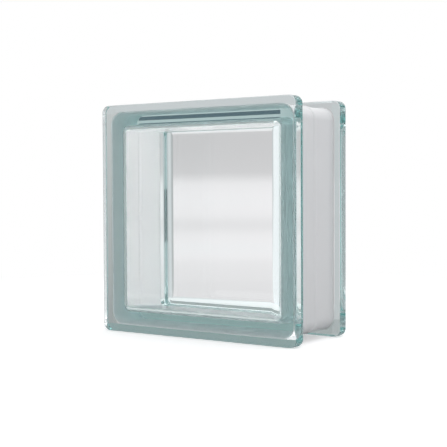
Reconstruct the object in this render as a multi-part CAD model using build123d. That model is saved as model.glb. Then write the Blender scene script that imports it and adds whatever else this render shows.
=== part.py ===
from build123d import *
from math import atan, degrees
import os

# A hollow glass block for walls. Two pressed glass trays are fused mouth to mouth at the middle of the
# depth, and the recessed sides between their rims are painted white. All lengths are in millimetres.
# The block stands on its rims: X runs along the front face, Y from front to back and Z up.

# Whole block
width = 190.0
height = 190.0
depth = 80.0

# Rim that runs round each face
rim_depth = 11.0
rim_overhang = 6.5
rim_corner_radius = 6.5
rim_front_round = 1.5
rim_back_round = 1.0

# Recessed side between the rims
side_corner_radius = 10.0
groove_fillet = 2.0

# Pressed plate, and walls that thin towards the seam so that the plunger draws out
plate_thickness = 8.0
wall_at_plate = 10.4
wall_at_seam = 8.0
cavity_corner_radius = 6.0
cavity_fillet = 8.0

# Bead of glass squeezed out where the two trays are fused
bead_height = 0.8
bead_half_width = 2.4

# White paint on the recessed side, which stops in the groove at each rim
coat_thickness = 0.3
coat_lap = 1.2

# Sizes that follow from the ones above
half_depth = depth / 2
side_width = width - 2 * rim_overhang
side_height = height - 2 * rim_overhang
bead_radius = (bead_half_width**2 + bead_height**2) / (2 * bead_height)
bead_inset = bead_radius - bead_height
cavity_depth = half_depth - plate_thickness
draft_angle = degrees(atan((wall_at_plate - wall_at_seam) / cavity_depth))


def side_outline(offset, corner_radius):
    """The recessed side's rounded rectangle, grown by an offset."""
    return RectangleRounded(side_width + 2 * offset, side_height + 2 * offset, corner_radius + offset)


def outer_form(skin):
    """One tray without its hollow, face down on the XY plane. A skin grows what the paint covers."""
    rim = extrude(RectangleRounded(width, height, rim_corner_radius), rim_depth + skin)
    side = extrude(side_outline(skin, side_corner_radius), half_depth)
    form = rim + side

    rim_back = form.faces().filter_by(Plane.XY).sort_by(Axis.Z)[1]
    form = fillet(rim_back.inner_wires()[0].edges(), groove_fillet - skin)

    rim_back = form.faces().filter_by(Plane.XY).sort_by(Axis.Z)[1]
    form = fillet(rim_back.outer_wire().edges(), rim_back_round)

    face = form.faces().filter_by(Plane.XY).sort_by(Axis.Z)[0]
    form = fillet(face.outer_wire().edges(), rim_front_round)
    return form + seam_bead(skin)


def seam_bead(skin):
    """Half of the fused bead: a round bar, sunk in the side, that stops at the seam."""
    path = Pos(0, 0, half_depth) * side_outline(-bead_inset, side_corner_radius).wire()
    section = Plane(path @ 0, z_dir=path % 0) * Circle(bead_radius + skin)
    bar = sweep(section, path)
    mouth = extrude(Rectangle(width, height), half_depth)
    return bar & mouth


def cavity():
    """What the plunger leaves: a tapered hollow with rounded corners and a filleted floor."""
    floor = Pos(0, 0, plate_thickness) * side_outline(-wall_at_plate, wall_at_plate + cavity_corner_radius)
    hollow = extrude(floor, cavity_depth, taper=-draft_angle)
    return fillet(hollow.faces().sort_by(Axis.Z)[0].edges(), cavity_fillet)


def coat_half(bare_form):
    """The paint on one tray: the skin over its side and half bead, and a little way into the groove."""
    reach = extrude(side_outline(coat_lap, side_corner_radius), half_depth)
    return (outer_form(coat_thickness) - bare_form) & reach


# Each half is modelled face down, then stood up so that its mouth meets the other at the middle
front_place = Plane(origin=(0, -half_depth, height / 2), x_dir=(1, 0, 0), z_dir=(0, 1, 0))
back_place = Plane(origin=(0, half_depth, height / 2), x_dir=(-1, 0, 0), z_dir=(0, -1, 0))

bare_form = outer_form(0)
tray = bare_form - cavity()
paint = coat_half(bare_form)

pieces = {
    "front_shell": front_place * tray,
    "back_shell": back_place * tray,
    "edge_coating": front_place * paint + back_place * paint,
}

os.makedirs("parts", exist_ok=True)
for name, piece in pieces.items():
    export_step(piece, f"parts/{name}.step")
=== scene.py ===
import math

import bpy
import numpy as np
from mathutils import Matrix, Vector


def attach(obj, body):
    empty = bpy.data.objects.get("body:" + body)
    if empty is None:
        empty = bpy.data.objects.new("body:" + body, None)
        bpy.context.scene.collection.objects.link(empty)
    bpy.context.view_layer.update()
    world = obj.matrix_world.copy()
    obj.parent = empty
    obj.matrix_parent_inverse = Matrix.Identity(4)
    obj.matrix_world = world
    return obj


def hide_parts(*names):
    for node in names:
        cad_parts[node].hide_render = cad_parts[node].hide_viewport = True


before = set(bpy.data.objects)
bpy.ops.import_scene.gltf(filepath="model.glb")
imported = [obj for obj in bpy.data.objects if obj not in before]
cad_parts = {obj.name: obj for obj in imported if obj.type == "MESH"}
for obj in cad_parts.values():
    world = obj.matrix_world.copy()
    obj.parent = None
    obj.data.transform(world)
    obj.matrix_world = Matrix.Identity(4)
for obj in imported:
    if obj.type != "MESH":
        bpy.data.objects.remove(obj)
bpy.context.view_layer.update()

# A clear hollow glass block with white painted sides, in a plain studio. The block's lengths are in
# millimetres and are scaled to metres where a mesh is made. The studio's lengths are in metres.
MM = 0.001

# The block, as the CAD frame has it
half_width = 95.0
half_depth = 40.0
rim_depth = 11.0
rim_overhang = 6.5
rim_corner_radius = 6.5
rim_front_round = 1.5
rim_back_round = 1.0
side_corner_radius = 10.0
groove_fillet = 2.0
plate_thickness = 8.0
wall_at_plate = 10.4
wall_at_seam = 8.0
cavity_corner_radius = 6.0
cavity_fillet = 8.0
bead_height = 0.8
bead_half_width = 2.4
coat_thickness = 0.3
coat_lap = 1.2

# What only the fine mesh has: soft ends of the bead and seam, and how far the coat sinks into the glass
bead_blend = 1.0
seam_blend = 1.0
coat_bite = 0.08
least_corner_radius = 0.8

# Sizes that follow
rim_back = half_depth - rim_depth
side_half = half_width - rim_overhang
rim_centre = half_width - rim_corner_radius
side_centre = side_half - side_corner_radius
cavity_centre = side_half - wall_at_plate - cavity_corner_radius
bead_radius = (bead_half_width**2 + bead_height**2) / (2 * bead_height)
bead_axis = side_half + bead_height - bead_radius
plate_inside = half_depth - plate_thickness

# Mesh fineness: round the block, on the arcs of a profile, and on the straight runs between its arcs
CORNER_STEPS = 12
SIDE_STEPS = 30
ARC_STEPS = 8
BLEND_STEPS = 4
BEAD_STEPS = 6
RIM_RUNS = [3, 2]
SIDE_RUNS = [6, 1]
CAVITY_RUNS = [6, 1]

# Waves that pressing leaves in the glass: their heights outside and in the hollow, and the direction and
# length of each wave, all in millimetres, and its phase
OUTER_WAVE = 0.003
INNER_WAVE = 0.009
WAVES = (
    ((1.0, 0.3, 0.2), 47.0, 0.4),
    ((0.1, 0.5, 1.0), 39.0, 2.1),
    ((0.8, -0.4, -0.9), 29.0, 4.4),
    ((-0.6, 1.0, 0.7), 23.0, 1.3),
)

# Glass and paint
GLASS_IOR = 1.52
GLASS_TINT = (0.32, 0.80, 0.78, 1)
GLASS_DENSITY = 8.0
PAINT_DARK = (0.85, 0.85, 0.86, 1)
PAINT_LIGHT = (0.89, 0.89, 0.90, 1)
PAINT_ROUGHNESS = 0.7
PAINT_SCATTER = 0.0005
GRIT_SCALE = 1400
GRIT_HEIGHT = 0.0001
GRIT_STRENGTH = 0.25
CLOUD_SCALE = 40

# Camera, fitted to the straight edges of both rims in the photograph
FOCAL_PIXELS = 1024.0
PICTURE_WIDTH = 447.0
SENSOR_WIDTH = 36.0
CAMERA_PLACE = (0.483, -0.697, 0.123)
CAMERA_YAW = math.radians(34.61)
CAMERA_PITCH = math.radians(2.16)
CAMERA_ROLL = math.radians(-0.28)
VIEW_AWAY = Vector((-math.sin(CAMERA_YAW), math.cos(CAMERA_YAW), 0))
VIEW_RIGHT = Vector((math.cos(CAMERA_YAW), math.sin(CAMERA_YAW), 0))

# Brightness of the studio walls by direction, in degrees to the right of straight behind the block
STUDIO_WALLS = (
    (-180, 0.62), (-150, 0.62), (-120, 0.58), (-100, 0.62), (-85, 0.45), (-66, 0.45), (-58, 0.52),
    (-42, 0.60), (-36, 0.76), (-24, 0.76), (-16, 0.44), (-3, 0.46), (5, 0.56), (8, 0.60), (12, 1.02),
    (50, 1.02), (56, 0.45), (66, 0.45), (75, 0.80), (120, 0.76), (150, 0.62), (180, 0.62),
)
STUDIO_TINT = (0.985, 0.99, 1.01)

# From this many glass surfaces on, a ray has been across the hollow
HOLLOW_CROSSINGS = 3

# Extra studio light on paint under glass: in the bands round the window, and on the far inner wall
BAND_GAIN = (1.0, 1.5, 1.4)
WALL_GAIN = (7.3, 5.7, 5.4)

# Floor: its colour to the light and to the eye, the distances where it turns into the walls, and how much
# nearer it does that through glass
FLOOR_HALF = 6.0
FLOOR_DROP = 0.0002
FLOOR_GREY = (0.56, 0.56, 0.56, 1)
FLOOR_WHITE = (0.90, 0.90, 0.90, 1)
FLOOR_ROUGHNESS = 0.9
FLOOR_FADE = (0.22, 0.60)
FADE_THROUGH_GLASS = 2.2

# Glow of the floor as seen straight, as seen through the whole block, and as light for paint under glass. The
# last two are painted light near the block, where its shadow falls
FLOOR_LIFT = 0.42
ACROSS_LIFT = 0.38
UNDER_LIFT = 1.15

# Glowing sheet behind the block, which only glass and reflections show, with its brightness by height, which
# ends in white at the top. Its bands are painted light and shade for the glass to show
CARD_TOP = 0.42
CARD_BANDS = (
    (0.001, 0.84), (0.006, 0.84), (0.010, 0.86), (0.030, 0.90), (0.038, 0.97), (0.062, 0.97),
    (0.075, 0.80), (0.088, 0.97), (0.124, 0.97), (0.138, 0.62), (0.236, 0.62), (0.252, 0.98),
)
CARD_TINT = (1.045, 0.975, 0.99)
CARD_HALF_WIDTH = 0.110
CARD_FADE = 0.030
CARD_START = 0.20
CARD_DISTANCE = 0.38
CARD_BEND = 0.03
CARD_BEND_STEPS = 8
CARD_LIFT = 0.0005

# Upright strips behind the rims, which only glass shows. They glow grey, as painted shade: the dark line
# along the top and the shaded rims. Each has a name, middle and width along X, place in depth, lowest and
# highest point, and grey at each of them
BEHIND_FRONT = -0.024
BEHIND_REAR = 0.046
SHADE_FLAGS = (
    ("top_flag", -0.0235, 0.145, BEHIND_REAR, (0.1802, 0.1835), (0.12, 0.15, 0.18), (0.12, 0.15, 0.18)),
    ("kerb_flag", 0, 0.2, BEHIND_REAR, (0.0004, 0.0125), (0.38, 0.41, 0.41), (0.38, 0.41, 0.41)),
    ("under_flag", 0, 0.189, -0.0286, (0.0001, 0.0055), (0.27, 0.35, 0.35), (0.27, 0.36, 0.36)),
    ("left_flag", -0.1122, 0.0464, BEHIND_FRONT, (0.0004, 0.188), (0.34, 0.36, 0.36), (0.57, 0.58, 0.58)),
    ("over_flag", -0.0205, 0.2300, BEHIND_FRONT, (0.1838, 0.205), (0.60, 0.62, 0.63), (0.63, 0.63, 0.65)),
    ("rear_flag", 0.0990, 0.036, BEHIND_REAR, (0.0004, 0.188), (0.55, 0.57, 0.58), (0.57, 0.60, 0.61)),
)

# Dark glowing strip where the camera stands, for rays that have crossed at least this many glass surfaces. It
# is painted shade, which gives dark streaks in the glass
CAMERA_FLAG_DISTANCE = 0.8
CAMERA_FLAG_WIDTH = 1.3
CAMERA_FLAG_HEIGHT = (0.02, 0.115)
CAMERA_FLAG_GREY = (0.05, 0.05, 0.06)
CAMERA_FLAG_CROSSINGS = 5

# Pale glowing sheet under the front rim, which only glass shows: painted light where the floor lies in the
# block's shadow
SHEET_HALF_WIDTH = 0.094
SHEET_FRONT = -0.0395
SHEET_BACK = -0.0295
SHEET_DROP = 0.0001
SHEET_GLOW = (0.75, 0.75, 0.75, 1)

# Soft lamp above the block
LAMP_PLACE = (0.1, 0.0, 1.2)
LAMP_AIM = (0, 0, 0.1)
LAMP_SIZE = 1.0
LAMP_POWER = 4.5

# Kinds of ray that miss a piece of the studio which shows only through glass, or also in reflections
ALL_BUT_GLASS = ("camera", "shadow", "diffuse", "glossy")
ALL_BUT_GLASS_AND_GLOSS = ("camera", "shadow", "diffuse")

# How often light may cross glass, and how often it may be scattered or reflected
GLASS_BOUNCES = 48
OTHER_BOUNCES = 24


def arc(centre, radius, start, end, corner_centre, wave, convex=True, steps=ARC_STEPS):
    """Profile points on an arc: half size, depth, centre of the corner arcs, normal and wave height."""
    side = 1 if convex else -1
    points = []
    for i in range(steps + 1):
        angle = math.radians(start + (end - start) * i / steps)
        out, deep = math.cos(angle), math.sin(angle)
        half = centre[0] + radius * out
        place = centre[1] + radius * deep
        points.append((half, place, corner_centre, side * out, side * deep, wave))
    return points


def run(start, end, steps):
    """Profile points between two others, without either."""
    rows = []
    for i in range(1, steps):
        t = i / steps
        rows.append(tuple(p + (q - p) * t for p, q in zip(start, end)))
    return rows


def joined(parts, steps):
    """Profile parts in a row, with straight runs of some steps between them."""
    points = list(parts[0])
    for part, count in zip(parts[1:], steps):
        points += run(points[-1], part[0], count) + list(part)
    return points


def mirrored(front):
    """A front half's profile and its mirror image behind the seam."""
    back = [(a, -y, c, out, -deep, wave) for a, y, c, out, deep, wave in reversed(front)]
    return front + back[1:]


def side_parts(offset, lap=groove_fillet):
    """Groove from a height on the rim, side wall and bead of the recessed side, grown by an offset."""
    groove_radius = groove_fillet - offset
    groove_start = -math.degrees(math.acos((lap - groove_fillet) / groove_radius))
    groove_centre = (side_half + groove_fillet, -(rim_back - groove_fillet))
    groove = arc(groove_centre, groove_radius, groove_start, -180, side_centre, 0, convex=False)
    reach = bead_radius + bead_blend
    blend_out = side_half + bead_blend - bead_axis
    blend_y = math.sqrt(reach**2 - blend_out**2)
    lean = math.degrees(math.atan2(blend_y, blend_out))
    blend_centre = (side_half + bead_blend, -blend_y)
    blend_radius = bead_blend - offset
    blend = arc(blend_centre, blend_radius, 180, 180 - lean, side_centre, 0, convex=False, steps=BLEND_STEPS)
    bead = arc((bead_axis, 0), bead_radius + offset, -lean, 0, side_centre, 0, steps=BEAD_STEPS)
    return groove, blend, bead


def outer_profile():
    """The block's outside from the front face to the back face."""
    front_centre = (half_width - rim_front_round, rim_front_round - half_depth)
    front_round = arc(front_centre, rim_front_round, -90, 0, rim_centre, OUTER_WAVE)
    back_centre = (half_width - rim_back_round, -rim_back - rim_back_round)
    back_round = arc(back_centre, rim_back_round, 0, 90, rim_centre, OUTER_WAVE)
    groove, blend, bead = side_parts(0)
    return mirrored(joined([front_round, back_round, groove, blend, bead], RIM_RUNS + SIDE_RUNS))


def cavity_profile():
    """The hollow's walls from the front plate to the back plate."""
    slope = (wall_at_plate - wall_at_seam) / plate_inside
    lean = math.atan(slope)
    wall = side_half - wall_at_plate
    centre = (wall + slope * cavity_fillet - cavity_fillet / math.cos(lean), cavity_fillet - plate_inside)
    fillet = arc(centre, cavity_fillet, -90, -math.degrees(lean), cavity_centre, INNER_WAVE, convex=False)
    near_half = side_half - wall_at_seam - slope * seam_blend
    near = (near_half, -seam_blend, cavity_centre, -math.cos(lean), math.sin(lean), INNER_WAVE)
    seam = (side_half - wall_at_seam - slope * seam_blend / 2, 0, cavity_centre, -1, 0, INNER_WAVE)
    return mirrored(joined([fillet, [near], [seam]], CAVITY_RUNS))


def coat_profile():
    """Outside of the film from one edge to the other, then back along its inside."""
    rings = []
    for offset, side in ((coat_thickness, 1), (-coat_bite, -1)):
        groove, blend, bead = side_parts(offset, coat_lap)
        whole = mirrored(joined([groove, blend, bead], SIDE_RUNS))
        rings.append([(a, y, c, side * out, side * deep, w) for a, y, c, out, deep, w in whole])
    return rings[0] + rings[1][::-1]


class Surface:
    """Vertices with their normals, and faces, before they become a mesh."""

    def __init__(self):
        self.points = []
        self.normals = []
        self.waves = []
        self.faces = []

    def vertex(self, point, normal, wave):
        """A new vertex's number."""
        self.points.append(point)
        self.normals.append(normal)
        self.waves.append(wave)
        return len(self.points) - 1

    def ring(self, half, depth, centre, out, deep, wave):
        """One rounded square at a depth, as vertex numbers from the right-hand side's top end."""
        centre = min(centre, half - least_corner_radius)
        radius = half - centre
        made = []
        for corner in range(4):
            start = corner * math.pi / 2
            middle = (
                centre * math.copysign(1, math.cos(start + math.pi / 4)),
                centre * math.copysign(1, math.sin(start + math.pi / 4)),
            )
            for i in range(CORNER_STEPS + 1):
                angle = start + math.pi / 2 * i / CORNER_STEPS
                x, z = math.cos(angle), math.sin(angle)
                point = (middle[0] + radius * x, depth, middle[1] + radius * z)
                made.append(self.vertex(point, (out * x, deep, out * z), wave))
            angle = start + math.pi / 2
            x, z = math.cos(angle), math.sin(angle)
            for i in range(1, SIDE_STEPS):
                t = 2 * centre * i / SIDE_STEPS
                point = (middle[0] + radius * x - t * z, depth, middle[1] + radius * z + t * x)
                made.append(self.vertex(point, (out * x, deep, out * z), wave))
        return made

    def tube(self, profile, closed=False):
        """The rings of a profile, joined by faces."""
        rings = [self.ring(*row) for row in profile]
        pairs = list(zip(rings, rings[1:]))
        if closed:
            pairs.append((rings[-1], rings[0]))
        for first, second in pairs:
            for i in range(len(first)):
                j = (i + 1) % len(first)
                self.faces.append((first[i], first[j], second[j], second[i]))
        return rings

    def cap(self, ring, depth, centre, deep, wave):
        """The flat plate inside a ring: a grid, a strip along each side and a fan in each corner."""
        line = [-centre + 2 * centre * i / SIDE_STEPS for i in range(SIDE_STEPS + 1)]
        grid = [[self.vertex((x, depth, z), (0, deep, 0), wave) for z in line] for x in line]
        for i in range(SIDE_STEPS):
            for j in range(SIDE_STEPS):
                self.faces.append((grid[i][j], grid[i + 1][j], grid[i + 1][j + 1], grid[i][j + 1]))
        last = SIDE_STEPS
        sides = (
            [grid[last - i][last] for i in range(last + 1)],
            [grid[0][last - i] for i in range(last + 1)],
            [grid[i][0] for i in range(last + 1)],
            [grid[last][i] for i in range(last + 1)],
        )
        step = CORNER_STEPS + SIDE_STEPS
        for corner, side in enumerate(sides):
            base = corner * step
            for i in range(CORNER_STEPS):
                self.faces.append((side[0], ring[base + i], ring[base + i + 1]))
            for i in range(SIDE_STEPS):
                near = ring[base + CORNER_STEPS + i]
                far = ring[(base + CORNER_STEPS + i + 1) % len(ring)]
                self.faces.append((side[i], near, far, side[i + 1]))

    def mesh(self, name, outer_count=0):
        """A smooth mesh with its waves. The first vertices can be outer ones, which only move inwards."""
        points = np.array(self.points)
        normals = np.array(self.normals)
        normals /= np.linalg.norm(normals, axis=1)[:, None]
        heights = np.array(self.waves)[:, None]
        level = np.zeros((len(points), 1))
        slope = np.zeros_like(points)
        for direction, length, phase in WAVES:
            direction = np.array(direction) / np.linalg.norm(direction)
            turn = points @ direction * (2 * math.pi / length) + phase
            level += np.sin(turn)[:, None] / len(WAVES)
            slope += np.cos(turn)[:, None] * direction * (2 * math.pi / length) / len(WAVES)
        outer = (np.arange(len(points)) < outer_count)[:, None]
        shift = np.where(outer, heights * (level - 1) / 2, heights * level)
        slope = np.where(outer, heights * slope / 2, heights * slope)
        along = (slope * normals).sum(axis=1)[:, None] * normals
        points = points + normals * shift
        normals = normals - (slope - along)
        normals /= np.linalg.norm(normals, axis=1)[:, None]

        faces = []
        for face in self.faces:
            corners = points[list(face)]
            across = np.cross(corners[2] - corners[0], corners[-1] - corners[1])
            facing = across @ normals[list(face)].sum(axis=0)
            faces.append(face if facing > 0 else face[::-1])
        points = points * MM + np.array((0, 0, half_width * MM))
        made = bpy.data.meshes.new(name)
        made.from_pydata(points.tolist(), [], faces)
        made.validate()
        made.polygons.foreach_set("use_smooth", [True] * len(made.polygons))
        made.normals_split_custom_set_from_vertices(normals.tolist())
        return made


def glass_mesh():
    """One closed body of glass: the outside, and the hollow as a second skin inside it."""
    surface = Surface()
    rings = surface.tube(outer_profile())
    surface.cap(rings[0], -half_depth, rim_centre, -1, OUTER_WAVE)
    surface.cap(rings[-1], half_depth, rim_centre, 1, OUTER_WAVE)
    outer_count = len(surface.points)
    hollow = cavity_profile()
    rings = surface.tube(hollow)
    flat_centre = min(cavity_centre, hollow[0][0] - least_corner_radius)
    surface.cap(rings[0], -plate_inside, flat_centre, 1, INNER_WAVE)
    surface.cap(rings[-1], plate_inside, flat_centre, -1, INNER_WAVE)
    return surface.mesh("glass_block", outer_count)


def coat_mesh():
    """The film of paint, a little sunk into the glass."""
    surface = Surface()
    surface.tube(coat_profile(), closed=True)
    return surface.mesh("edge_coat")


def new_piece(name, mesh, nodes, material):
    """A piece of the block that stands for some CAD nodes."""
    piece = bpy.data.objects.new(name, mesh)
    bpy.context.scene.collection.objects.link(piece)
    mesh.materials.append(material)
    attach(piece, "root")
    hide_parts(*nodes)


class Graph:
    """The nodes of a material or of the world, with short ways to add and join them."""

    def __init__(self, owner):
        owner.use_nodes = True
        self.nodes = owner.node_tree.nodes
        self.links = owner.node_tree.links

    def feed(self, node, inputs):
        """Gives a node's inputs their values: plain ones, or outputs of other nodes."""
        for name, value in inputs.items():
            if isinstance(value, bpy.types.NodeSocket):
                self.links.new(value, node.inputs[name])
            else:
                node.inputs[name].default_value = value

    def add(self, kind, inputs=None, **settings):
        """A new node with its settings and inputs."""
        node = self.nodes.new("ShaderNode" + kind)
        for name, value in settings.items():
            setattr(node, name, value)
        self.feed(node, inputs or {})
        return node

    def math(self, operation, *values):
        """A math node's result on plain numbers or outputs of other nodes."""
        return self.add("Math", dict(enumerate(values)), operation=operation).outputs["Value"]

    def at_least(self, count, least):
        """1 where a whole number reaches another one, and 0 elsewhere."""
        return self.math("GREATER_THAN", count, least - 0.5)

    def along(self, vector, axis):
        """A vector's length along an axis."""
        return self.add("VectorMath", {0: vector, 1: axis}, operation="DOT_PRODUCT").outputs["Value"]

    def ramp(self, place, stops, interpolation="LINEAR"):
        """The colour at a place on a ramp, whose own two stops become the first and the last."""
        ramp = self.add("ValToRGB", {"Fac": place})
        ramp.color_ramp.interpolation = interpolation
        elements = ramp.color_ramp.elements
        for position, colour in stops[1:-1]:
            elements.new(position).color = (*colour, 1)
        for end in (0, -1):
            position, colour = stops[end]
            elements[end].position = position
            elements[end].color = (*colour, 1)
        return ramp.outputs["Color"]

    def mix(self, share, first, second):
        """One colour that turns into another as a share goes from 0 to 1."""
        inputs = {"Factor": share, "A": first, "B": second}
        return self.add("Mix", inputs, data_type="RGBA").outputs["Result"]

    def blend(self, share, first, second):
        """One shader's node that turns into another as a share goes from 0 to 1."""
        return self.add("MixShader", {"Fac": share, 1: first.outputs[0], 2: second.outputs[0]})

    def show(self, node):
        """Makes a shader's node the material's surface."""
        self.feed(self.nodes["Material Output"], {"Surface": node.outputs[0]})


def new_material(name):
    """A new material and its nodes."""
    made = bpy.data.materials.new(name)
    return made, Graph(made)


def glass_material():
    """Clear glass, which looks deeper blue-green the more of it light goes through."""
    made, graph = new_material("pressed_glass")
    clear = {"Base Color": (1, 1, 1, 1), "Transmission Weight": 1, "IOR": GLASS_IOR, "Roughness": 0.0}
    graph.feed(graph.nodes["Principled BSDF"], clear)
    volume = graph.add("VolumeAbsorption", {"Color": GLASS_TINT, "Density": GLASS_DENSITY})
    graph.feed(graph.nodes["Material Output"], {"Volume": volume.outputs["Volume"]})
    return made


def paint_material():
    """Matt white film with sprayed grit and faint clouds, which lets a little light through."""
    made, graph = new_material("edge_paint")
    place = graph.add("TexCoord").outputs["Object"]
    grit = graph.add("TexNoise", {"Vector": place, "Scale": GRIT_SCALE, "Detail": 3})
    relief = {"Height": grit.outputs["Fac"], "Strength": GRIT_STRENGTH, "Distance": GRIT_HEIGHT}
    cloud = graph.add("TexNoise", {"Vector": place, "Scale": CLOUD_SCALE, "Detail": 4})
    shader = graph.nodes["Principled BSDF"]
    shader.subsurface_method = "RANDOM_WALK"
    graph.feed(shader, {
        "Base Color": graph.mix(cloud.outputs["Fac"], PAINT_DARK, PAINT_LIGHT),
        "Normal": graph.add("Bump", relief).outputs["Normal"],
        "Roughness": PAINT_ROUGHNESS,
        "Subsurface Weight": 1,
        "Subsurface Radius": (1, 1, 1),
        "Subsurface Scale": PAINT_SCATTER,
    })
    return made


def studio_walls(graph, direction):
    """The studio walls' grey in one direction."""
    turn = graph.math("ARCTAN2", graph.along(direction, VIEW_RIGHT), graph.along(direction, VIEW_AWAY))
    share = graph.math("MULTIPLY_ADD", turn, 0.5 / math.pi, 0.5)
    stops = [(degrees / 360 + 0.5, [grey * tint for tint in STUDIO_TINT]) for degrees, grey in STUDIO_WALLS]
    return graph.ramp(share, stops)


def studio_light(graph, rays, grey):
    """The walls' grey, and more light for paint that is seen through glass.

    The number of glass surfaces that a ray has crossed tells where the paint is. The paint lies under glass
    where that number is odd, or where the ray leaves through glass. It lies across the hollow where a ray has
    crossed the hollow once, or twice where it leaves through glass. A ray that leaves through glass and was
    never scattered gets no more, because it shows the studio itself, and neither does a reflection.
    """
    through = rays["Is Transmission Ray"]
    depth = rays["Transmission Depth"]
    odd = graph.math("GREATER_THAN", graph.math("FRACT", graph.math("MULTIPLY", depth, 0.5)), 0.25)
    in_glass = graph.math("MULTIPLY", graph.at_least(depth, 1), graph.math("MAXIMUM", through, odd))
    limit = graph.math("MULTIPLY_ADD", through, HOLLOW_CROSSINGS, HOLLOW_CROSSINGS - 0.5)
    far = graph.math("GREATER_THAN", depth, limit)
    straight = graph.math("LESS_THAN", rays["Glossy Depth"], 0.5)
    across = graph.math("MULTIPLY", graph.math("MULTIPLY", far, straight), in_glass)
    scattered = graph.math("GREATER_THAN", rays["Diffuse Depth"], graph.math("SUBTRACT", through, 0.5))
    matt = graph.math("SUBTRACT", 1.0, rays["Is Glossy Ray"])
    lit = graph.math("MULTIPLY", scattered, matt)
    gains = []
    for band_gain, wall_gain in zip(BAND_GAIN, WALL_GAIN):
        band = graph.math("MULTIPLY", in_glass, band_gain)
        gain = graph.math("MULTIPLY_ADD", across, wall_gain, band)
        gains.append(graph.math("MULTIPLY", lit, gain))
    extra = graph.add("CombineXYZ", dict(enumerate(gains))).outputs["Vector"]
    return graph.add("VectorMath", {0: extra, 1: grey, 2: grey}, operation="MULTIPLY_ADD").outputs["Vector"]


def floor_material():
    """White with the block's soft shadow near it, and further off the walls' grey, or white to the camera."""
    made, graph = new_material("studio_floor")
    place = graph.add("TexCoord").outputs["Object"]
    rays = graph.add("LightPath").outputs
    to_camera = rays["Is Camera Ray"]
    through = rays["Is Transmission Ray"]
    depth = rays["Transmission Depth"]
    across = graph.at_least(graph.math("MULTIPLY", depth, through), HOLLOW_CROSSINGS)

    shader = graph.nodes["Principled BSDF"]
    colour = graph.mix(graph.math("MAXIMUM", to_camera, across), FLOOR_GREY, FLOOR_WHITE)
    graph.feed(shader, {"Base Color": colour, "Roughness": FLOOR_ROUGHNESS, "Specular IOR Level": 0.0})
    # Painted light: near the block, where its shadow falls, the floor glows for rays that have crossed glass
    scattered = graph.math("SUBTRACT", 1.0, through)
    under = graph.math("MULTIPLY", graph.at_least(depth, 1), scattered)
    strength = graph.math("MULTIPLY", under, UNDER_LIFT)
    strength = graph.math("MULTIPLY_ADD", across, ACROSS_LIFT, strength)
    strength = graph.math("MULTIPLY_ADD", to_camera, FLOOR_LIFT, strength)
    lift = graph.add("Emission", {"Strength": strength})
    near = graph.add("AddShader", {0: shader.outputs["BSDF"], 1: lift.outputs["Emission"]})

    direction = graph.add("VectorMath", {0: place}, operation="NORMALIZE").outputs["Vector"]
    light = studio_light(graph, rays, studio_walls(graph, direction))
    far = graph.blend(to_camera, graph.add("Emission", {"Color": light}), graph.add("Emission"))

    length = graph.add("VectorMath", {0: place}, operation="LENGTH").outputs["Value"]
    stretch = graph.math("MULTIPLY_ADD", through, FADE_THROUGH_GLASS - 1, 1.0)
    distance = graph.math("MULTIPLY", length, stretch)
    limits = {"Value": distance, "From Min": FLOOR_FADE[0], "From Max": FLOOR_FADE[1]}
    fade = graph.add("MapRange", limits, interpolation_type="SMOOTHSTEP").outputs["Result"]
    graph.show(graph.blend(fade, near, far))
    return made


def card_material():
    """Glowing white with soft bands of painted shade, grey just above the height of the eye, and clear
    towards its sides.
    """
    made, graph = new_material("glow_card_material")
    place = graph.add("TexCoord").outputs["Object"]
    height = graph.add("SeparateXYZ", {"Vector": place}).outputs["Z"]
    share = graph.add("MapRange", {"Value": height, "From Max": CARD_TOP}).outputs["Result"]
    stops = [(position / CARD_TOP, [grey * tint for tint in CARD_TINT]) for position, grey in CARD_BANDS]
    stops.append((1, (1, 1, 1)))
    glow = graph.add("Emission", {"Color": graph.ramp(share, stops, "B_SPLINE")})
    sideways = graph.math("ABSOLUTE", graph.along(place, VIEW_RIGHT))
    limits = {"Value": sideways, "From Min": CARD_HALF_WIDTH - CARD_FADE, "From Max": CARD_HALF_WIDTH}
    fade = graph.add("MapRange", limits, interpolation_type="SMOOTHSTEP").outputs["Result"]
    graph.show(graph.blend(fade, glow, graph.add("BsdfTransparent")))
    return made


def shade_flag_material(name, height, low, high, crossings):
    """Painted shade: glowing grey from low to high, on the front side only, for rays that have crossed enough
    glass.
    """
    made, graph = new_material(name)
    place = graph.add("TexCoord").outputs["Object"]
    level = graph.add("SeparateXYZ", {"Vector": place}).outputs["Z"]
    limits = {"Value": level, "From Min": height[0], "From Max": height[1]}
    rise = graph.add("MapRange", limits).outputs["Result"]
    glow = graph.add("Emission", {"Color": graph.mix(rise, (*low, 1), (*high, 1))})
    depth = graph.add("LightPath").outputs["Transmission Depth"]
    shallow = graph.math("LESS_THAN", depth, crossings - 0.5)
    behind = graph.add("NewGeometry").outputs["Backfacing"]
    graph.show(graph.blend(graph.math("MAXIMUM", behind, shallow), glow, graph.add("BsdfTransparent")))
    return made


def sheet_material():
    """Plain glowing pale grey, as painted light under the front rim."""
    made, graph = new_material("foot_sheet")
    graph.show(graph.add("Emission", {"Color": SHEET_GLOW}))
    return made


def stage_piece(name, points, faces, material, hidden_from=()):
    """A mesh of the studio that some kinds of ray don't see."""
    mesh = bpy.data.meshes.new(name)
    mesh.from_pydata(points, [], faces)
    mesh.materials.append(material)
    made = bpy.data.objects.new(name, mesh)
    bpy.context.scene.collection.objects.link(made)
    for kind in hidden_from:
        setattr(made, "visible_" + kind, False)


def floor():
    """A plain floor, just under the block."""
    points = [(x * FLOOR_HALF, y * FLOOR_HALF, -FLOOR_DROP) for x, y in ((-1, -1), (1, -1), (1, 1), (-1, 1))]
    stage_piece("floor", points, [(0, 1, 2, 3)], floor_material())


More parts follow.
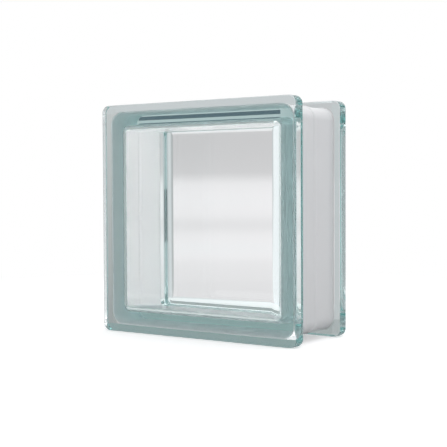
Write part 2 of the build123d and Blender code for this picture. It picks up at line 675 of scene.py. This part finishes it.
def card():
    """The glowing sheet behind the block, with painted light and shade for glass to show: flat on the floor,
    then bent up, square to the camera.
    """
    line = [(CARD_START, CARD_LIFT)]
    for i in range(CARD_BEND_STEPS + 1):
        turn = math.pi / 2 * i / CARD_BEND_STEPS
        distance = CARD_DISTANCE - CARD_BEND * (1 - math.sin(turn))
        line.append((distance, CARD_LIFT + CARD_BEND * (1 - math.cos(turn))))
    line.append((CARD_DISTANCE, CARD_TOP))
    points = []
    for distance, height in line:
        middle = VIEW_AWAY * distance + Vector((0, 0, height))
        points += [middle - VIEW_RIGHT * CARD_HALF_WIDTH, middle + VIEW_RIGHT * CARD_HALF_WIDTH]
    faces = [(2 * i, 2 * i + 1, 2 * i + 3, 2 * i + 2) for i in range(len(line) - 1)]
    stage_piece("glow_card", points, faces, card_material(), ALL_BUT_GLASS_AND_GLOSS)


def flag(name, middle, across, height, low, high, crossings=0):
    """An upright glowing strip of painted shade that only glass shows."""
    ends = [Vector(middle) + Vector(across) * side / 2 for side in (-1, 1)]
    points = [(end.x, end.y, level) for level in height for end in ends]
    grey = shade_flag_material(name, height, low, high, crossings)
    stage_piece(name, points, [(0, 1, 3, 2)], grey, ALL_BUT_GLASS)


def foot_sheet():
    """The glowing pale sheet under the front rim: painted light that only glass shows."""
    near = [(x, SHEET_FRONT, -SHEET_DROP) for x in (-SHEET_HALF_WIDTH, SHEET_HALF_WIDTH)]
    far = [(x, SHEET_BACK, -SHEET_DROP) for x in (SHEET_HALF_WIDTH, -SHEET_HALF_WIDTH)]
    stage_piece("foot_sheet", near + far, [(0, 1, 2, 3)], sheet_material(), ALL_BUT_GLASS)


def lamp():
    """A square soft light above the block."""
    data = bpy.data.lights.new("top", "AREA")
    data.shape = "SQUARE"
    data.size = LAMP_SIZE
    data.energy = LAMP_POWER
    made = bpy.data.objects.new("top", data)
    made.location = LAMP_PLACE
    made.rotation_euler = (Vector(LAMP_AIM) - Vector(LAMP_PLACE)).to_track_quat("-Z", "Y").to_euler()
    bpy.context.scene.collection.objects.link(made)


def surroundings():
    """The world: the studio walls, and plain white to the camera."""
    world = bpy.context.scene.world or bpy.data.worlds.new("studio")
    bpy.context.scene.world = world
    graph = Graph(world)
    graph.nodes.clear()
    rays = graph.add("LightPath").outputs
    direction = graph.add("TexCoord").outputs["Generated"]
    walls = graph.add("Background", {"Color": studio_light(graph, rays, studio_walls(graph, direction))})
    white = graph.add("Background", {"Color": (1, 1, 1, 1)})
    mixed = graph.blend(rays["Is Camera Ray"], walls, white)
    graph.add("OutputWorld", {"Surface": mixed.outputs["Shader"]})


def studio():
    """Floor, walls and lamp, with the glowing sheets and strips of painted light and shade that the glass
    shows.
    """
    floor()
    surroundings()
    card()
    for name, middle, width, place, height, low, high in SHADE_FLAGS:
        flag(name, (middle, place, 0), (width, 0, 0), height, low, high)
    foot_sheet()
    # The dark strip at the camera: painted shade in the glass
    behind = -VIEW_AWAY * CAMERA_FLAG_DISTANCE
    facing = -VIEW_RIGHT * CAMERA_FLAG_WIDTH
    grey = CAMERA_FLAG_GREY
    flag("camera_flag", behind, facing, CAMERA_FLAG_HEIGHT, grey, grey, CAMERA_FLAG_CROSSINGS)
    lamp()


def camera():
    """The camera at the photograph's viewing angle."""
    data = bpy.data.cameras.new("camera")
    data.sensor_width = SENSOR_WIDTH
    data.lens = FOCAL_PIXELS / PICTURE_WIDTH * SENSOR_WIDTH
    made = bpy.data.objects.new("camera", data)
    bpy.context.scene.collection.objects.link(made)
    level = math.cos(CAMERA_PITCH)
    forward = Vector((-math.sin(CAMERA_YAW) * level, math.cos(CAMERA_YAW) * level, -math.sin(CAMERA_PITCH)))
    up = VIEW_RIGHT.cross(forward)
    turned_right = VIEW_RIGHT * math.cos(CAMERA_ROLL) + up * math.sin(CAMERA_ROLL)
    turned_up = up * math.cos(CAMERA_ROLL) - VIEW_RIGHT * math.sin(CAMERA_ROLL)
    turn = Matrix((turned_right, turned_up, -forward)).transposed()
    made.matrix_world = Matrix.Translation(CAMERA_PLACE) @ turn.to_4x4()
    bpy.context.scene.camera = made


new_piece("glass_block", glass_mesh(), ["front_shell", "back_shell"], glass_material())
new_piece("edge_coat", coat_mesh(), ["edge_coating"], paint_material())
studio()
camera()
bpy.context.scene.view_settings.view_transform = "Standard"
cycles = bpy.context.scene.cycles
cycles.max_bounces = GLASS_BOUNCES
cycles.transmission_bounces = GLASS_BOUNCES
cycles.diffuse_bounces = OTHER_BOUNCES
cycles.glossy_bounces = OTHER_BOUNCES
